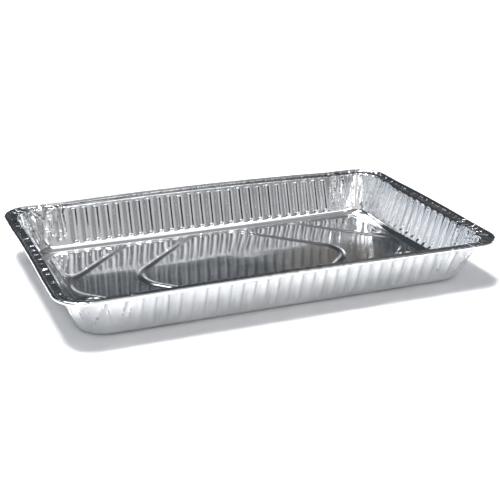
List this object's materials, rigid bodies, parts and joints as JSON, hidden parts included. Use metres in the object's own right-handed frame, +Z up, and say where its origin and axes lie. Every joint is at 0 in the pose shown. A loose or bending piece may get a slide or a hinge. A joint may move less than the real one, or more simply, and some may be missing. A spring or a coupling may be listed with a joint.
{
  "type": "foil roasting pan",
  "caption": "Rectangular foil roasting pan with fluted sloping walls, gathered corners, a rolled rim and beads pressed into the base.",
  "frame": {"origin": "centre of the pan's length and width, on the plane of the heel that it stands on", "axes": "+X along the long side, +Y across to the far long side, +Z up through the open mouth"},
  "size_m": [0.527, 0.3254, 0.0584],
  "materials": {
    "foil": "bright rolled foil"
  },
  "bodies": {
    "root": {"pan": "foil"}
  },
  "joints": []
}
